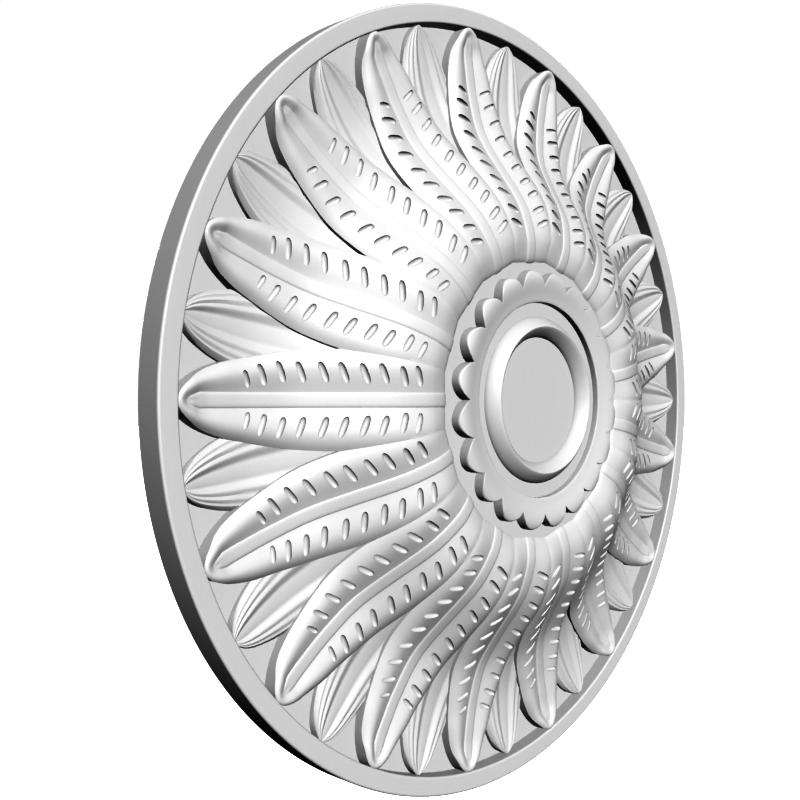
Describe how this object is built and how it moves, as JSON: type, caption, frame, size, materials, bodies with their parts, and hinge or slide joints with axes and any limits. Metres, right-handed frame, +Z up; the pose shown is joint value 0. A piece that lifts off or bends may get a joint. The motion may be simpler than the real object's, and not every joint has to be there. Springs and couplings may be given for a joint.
{
  "type": "carved wooden rosette",
  "caption": "Round carved rosette on a flat-backed disc: a ring of long pointed leaves with smaller leaves between them, a scalloped collar and a keel-shaped bead round a flat centre.",
  "frame": {"origin": "centre of the flat back, on the face that is fixed to the wall or the furniture", "axes": "+Y out of the flat back into what carries it, so the carved face looks towards -Y; +Z up; +X to the right seen from the front"},
  "size_m": [0.3, 0.038, 0.3],
  "materials": {
    "primed_wood": "fine-grained hardwood, carved, filled and primed in a pale neutral grey, satin"
  },
  "bodies": {
    "root": {"rosette": "primed_wood"}
  },
  "joints": []
}
